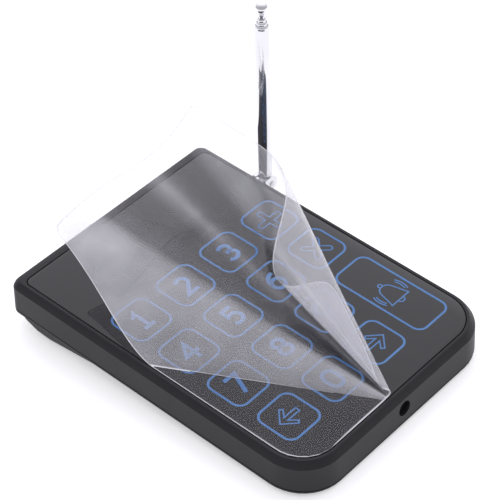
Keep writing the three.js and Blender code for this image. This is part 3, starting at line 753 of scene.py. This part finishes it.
def film_row(end, along):
    """Points of the flat film from its near edge to a point of its rim, and the milkiness and painted
    sheen at each.
    """
    reach = end - TIP
    start = TIP.lerp(end, (-PANEL_LENGTH / 2 - TIP.y) / reach.y)
    length = (end - start).length
    first = min(RIM_WIDTH * reach.length / reach.y / length, RIM_SHARE_MOST)
    last = 1 - min(RIM_WIDTH / length, RIM_SHARE_MOST)
    inner = [first + (last - first) * step / (along - 2) for step in range(along - 1)]
    row = [start.lerp(end, share) for share in (0, *inner, 1)]
    angle = math.degrees(film_angle(end))
    milk_and_sheen = between(FILM_HAZE_AND_SHEEN, angle) if angle > 0 else 0
    haze_and_sheen = [milk_and_sheen * between(REACH_HAZE_AND_SHEEN, share * reach.length) for share in inner]
    # the painted highlight line along the crease
    if abs(angle) < CREASE_LINE:
        haze_and_sheen = [CREASE_HIGHLIGHT] * len(inner)
    # with the painted highlight line at both ends of the row
    return row, [RIM_HIGHLIGHT, *haze_and_sheen, RIM_HIGHLIGHT * between(REACH_HAZE_AND_SHEEN, reach.length)]


def film_faces(across, along):
    """Faces of the film's underside and top by turns, then those round its edge."""
    width = along + 1
    count = (across + 1) * width
    faces = []
    for row in range(across):
        for step in range(along):
            a = row * width + step
            faces.append((a, a + 1, a + width + 1, a + width))
            faces.append((count + a, count + a + width, count + a + width + 1, count + a + 1))
    border = list(range(width))
    border += [row * width + along for row in range(1, across + 1)]
    border += [across * width + step for step in range(along - 1, -1, -1)]
    border += [row * width for row in range(across - 1, 0, -1)]
    for here, after in zip(border, border[1:] + border[:1]):
        faces.append((here, count + here, count + after, after))
    return faces


def protective_film():
    across, along = FILM_GRID
    rows = [film_row(end, along) for end in film_rim(across)]
    points = []
    for side in (-1, 1):
        for row, _ in rows:
            points += [SLAB @ film_point(flat, side * FILM_THICKNESS / 2) for flat in row]
    faces = film_faces(across, along)
    replaced = ["protective_film"]
    piece = make_piece("peeled_film", points, faces, FILM, "film", replaced, sharp=70)
    mesh = piece.data
    haze_and_sheen = [value for _, values in rows for value in values]
    mesh.attributes.new(HAZE_AND_SHEEN_NAME, "FLOAT", "POINT").data.foreach_set("value", haze_and_sheen * 2)
    mesh.materials.append(STUCK_FILM)
    mesh.materials.append(FILM_EDGE_GLINT)
    for polygon in mesh.polygons:
        step = polygon.index // 2 % along
        lies_flat = in_slab(polygon.center).z < FILM_BASE + FILM_THICKNESS
        # the faces round the film's edge get the painted glint
        if polygon.index >= 2 * across * along:
            polygon.material_index = GLINT_EDGE
        elif lies_flat and 0 < step < along - 1:
            polygon.material_index = STUCK


protective_film()

# ---- antenna ----
MAST = Matrix.Translation(PIVOT) @ Matrix.Scale(MM, 4)


def mast_ends(node):
    """The heights of a node's lowest and highest point above the elbow."""
    low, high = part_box(node)
    return (low.z - PIVOT.z) / MM, (high.z - PIVOT.z) / MM


def mast_piece(name, profile, body, node, closed=False):
    points, faces = turned(profile, MAST, closed=closed)
    make_piece(name, points, faces, CHROME, body, [node], sharp=40)


def mast_tube(number, outer, inner, foot, lip, body):
    """A tube of the mast by its radii: a wider foot and two fine grooves below a turned-in lip."""
    node = f"antenna_tube_{number}"
    low, top = mast_ends(node)
    profile = [
        (inner, low),
        (foot, low),
        (foot, low + 1.2),
        (outer, low + 1.7),
        (outer, top - 1.6),
        (outer - 0.07, top - 1.4),
        (outer - 0.07, top - 1.2),
        (outer, top - 1),
        (outer, top - 0.5),
        (outer - 0.07, top - 0.25),
        (outer - 0.2, top - 0.07),
        (outer - 0.38, top),
        (lip, top),
        (lip, top - 1),
        (inner, top - 1.3),
    ]
    mast_piece(f"mast_tube_{number}", profile, body, node, closed=True)


def mast_rod():
    low, top = mast_ends("antenna_rod")
    profile = [(0, low), (1.52, low), (1.52, low + 1.2), (1.3, low + 1.6), (1.3, top - 2.5)]
    profile += [(1.2, top - 2.4), (0.8, top - 2.4), (0.8, top), (0, top)]
    mast_piece("mast_rod", profile, "antenna_section_4", "antenna_rod")


def mast_tip():
    low, top = mast_ends("antenna_tip")
    wide, high = 2.7, 2.35  # of the ball, from its middle
    bore, depth = 0.95, 2.4
    profile = [(bore, low), (1.5, low), (1.6, low + 0.12), (1.6, low + 0.5), (1.35, low + 0.8)]
    profile += loop(0, top - high, wide, high, -60, 90, 18)
    profile += [(0, low + depth), (bore, low + depth)]
    mast_piece("mast_tip", profile, "antenna_section_4", "antenna_tip", closed=True)


mast_tube(1, 3, 2.65, 3, 2.5, "antenna_mast")
mast_tube(2, 2.4, 2.1, 2.57, 2, "antenna_section_2")
mast_tube(3, 1.9, 1.6, 2.02, 1.4, "antenna_section_3")
mast_rod()
mast_tip()

# ---- CAD pieces that keep their shape ----
FINISHES = {
    "housing": HOUSING,
    "panel": PANEL,
    "chrome": CHROME,
    "steel": STEEL,
    "brass": BRASS,
    "rubber": RUBBER,
    "circuit_board": BOARD,
    "chip": CHIP,
    "tape": TAPE,
    "battery_foil": FOIL,
    "clear_film": FILM,
}
WELD_REACH = 0.002
LOWER_BEVEL = 0.3
EDGE_ANGLE = math.radians(32)


def dress_cad_nodes():
    for part in frame["record"]["subparts"]:
        node = frame["nodes"][part["node"]]
        node.data.materials.clear()
        node.data.materials.append(FINISHES[part["material_slot"]])
        for polygon in node.data.polygons:
            polygon.use_smooth = True
        weld = node.modifiers.new("weld", "WELD")
        weld.merge_threshold = WELD_REACH * MM
        if part["node"] == "lower_housing":
            add_bevel(node, LOWER_BEVEL, 2)
        split = node.modifiers.new("edges", "EDGE_SPLIT")
        split.split_angle = EDGE_ANGLE


dress_cad_nodes()


# ---- floor and light ----
FLOOR_SIZE = 6
FLOOR_DROP = 0.0001
FLOOR_PALE = ((0.93, 0.93, 0.93), (0.95, 0.95, 0.95))
FLOOR_GLOW = 0.42
TENT_WAY = (0.55, 0.47, 0.69)  # towards the brightest part
TENT_TINT = (1, 0.985, 1.05, 1)
TENT_STRENGTH = (0.55, 1.5)
TENT_SPAN = (0.25, 0.95)


def make_floor():
    bpy.ops.mesh.primitive_plane_add(size=FLOOR_SIZE, location=(0, 0, -FLOOR_DROP))
    floor = bpy.context.object
    floor.name = "floor"
    material, nodes, links, shader = new_material("pale_floor")
    grain = noise_node(nodes, links, 8)
    links.new(ramp(nodes, links, grain, *FLOOR_PALE), shader.inputs["Base Color"])
    shader.inputs["Roughness"].default_value = 0.8
    shader.inputs["Specular IOR Level"].default_value = 0.0
    shader.inputs["Emission Color"].default_value = (1, 1, 1, 1)
    shader.inputs["Emission Strength"].default_value = FLOOR_GLOW
    floor.data.materials.append(material)


def make_world():
    """A white tent, brighter beyond the far right corner and overhead than behind the camera."""
    world = bpy.data.worlds.new("tent")
    bpy.context.scene.world = world
    world.use_nodes = True
    nodes, links = world.node_tree.nodes, world.node_tree.links
    place = nodes.new("ShaderNodeTexCoord")
    toward = nodes.new("ShaderNodeVectorMath")
    toward.operation = "DOT_PRODUCT"
    toward.inputs[1].default_value = TENT_WAY
    links.new(place.outputs["Generated"], toward.inputs[0])
    background = nodes["Background"]
    background.inputs["Color"].default_value = TENT_TINT
    strength = ramp(nodes, links, toward.outputs["Value"], *TENT_STRENGTH, *TENT_SPAN)
    links.new(strength, background.inputs["Strength"])


make_floor()
make_world()
bpy.context.scene.view_settings.view_transform = "Standard"
